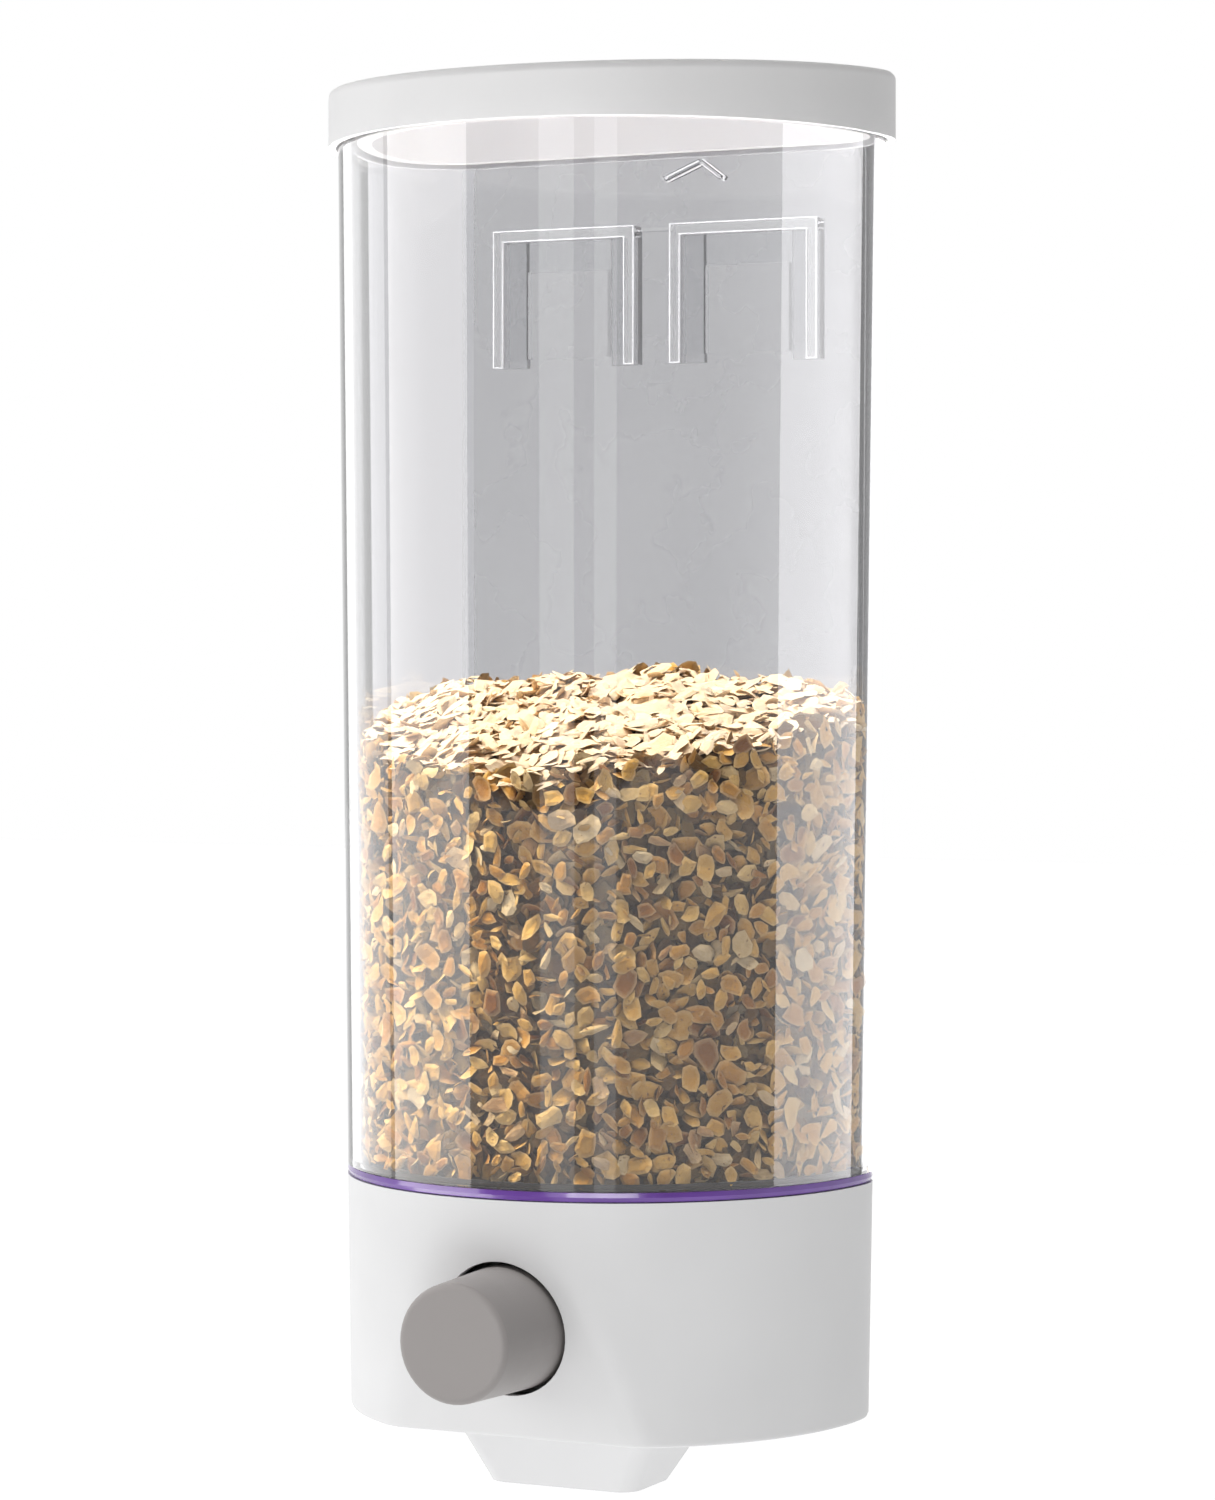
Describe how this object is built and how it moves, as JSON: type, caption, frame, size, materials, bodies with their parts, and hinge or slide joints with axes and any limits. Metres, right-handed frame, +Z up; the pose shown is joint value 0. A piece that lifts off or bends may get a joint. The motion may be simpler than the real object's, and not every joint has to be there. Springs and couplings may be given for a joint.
{
  "type": "cereal dispenser",
  "caption": "Wall-hung dry food dispenser: clear D-shaped container with lid on a white base whose push button slides a spring-loaded gate over a bottom spout.",
  "frame": {"origin": "middle of the adhesive pad's back face, on the wall plane", "axes": "+Z up, +Y into the wall, +X to the right of someone who faces the dispenser's front, which looks along -Y"},
  "size_m": [0.1096, 0.0904, 0.2608],
  "materials": {
    "white_plastic": "satin moulded white",
    "clear_plastic": "polished clear",
    "violet_silicone": "glossy translucent violet",
    "grey_plastic": "fine matt grey",
    "inner_plastic": "plain moulded",
    "pale_silicone": "soft matt",
    "steel": "bright plated",
    "adhesive_film": "clear tacky film",
    "bumper_rubber": "matt black"
  },
  "bodies": {
    "wall_mount": {"wall_plate": "clear_plastic", "adhesive_pad": "adhesive_film"},
    "dispenser": {"container": "clear_plastic", "seam_gasket": "violet_silicone", "base_housing": "white_plastic", "hopper": "inner_plastic", "throat_seal": "pale_silicone", "rail_left": "inner_plastic", "rail_right": "inner_plastic", "bottom_cover": "white_plastic", "outlet_chute": "white_plastic", "spring_seat": "inner_plastic", "return_spring": "steel", "wall_bumper_left": "bumper_rubber", "wall_bumper_right": "bumper_rubber", "cover_screw_1": "steel", "cover_screw_2": "steel", "cover_screw_3": "steel", "cover_screw_4": "steel", "rail_screw_1": "steel", "rail_screw_2": "steel", "rail_screw_3": "steel", "rail_screw_4": "steel"},
    "button_gate": {"button_cap": "grey_plastic", "push_yoke": "inner_plastic", "gate_plate": "inner_plastic", "yoke_screw_1": "steel", "yoke_screw_2": "steel"},
    "lid": {"lid": "white_plastic", "lid_seal": "pale_silicone"}
  },
  "joints": [
    {"name": "dispenser_lift", "type": "slide", "parent": "wall_mount", "child": "dispenser", "axis": [0, 0, 1], "range_m": [0, 0.03]},
    {"name": "lid_lift", "type": "slide", "parent": "dispenser", "child": "lid", "axis": [0, 0, 1], "range_m": [0, 0.03]},
    {"name": "button_press", "type": "slide", "parent": "dispenser", "child": "button_gate", "axis": [0, 1, 0], "range_m": [0, 0.014], "stiffness_N_per_m": 150, "springref_m": -0.02, "deforming": ["return_spring"]}
  ]
}
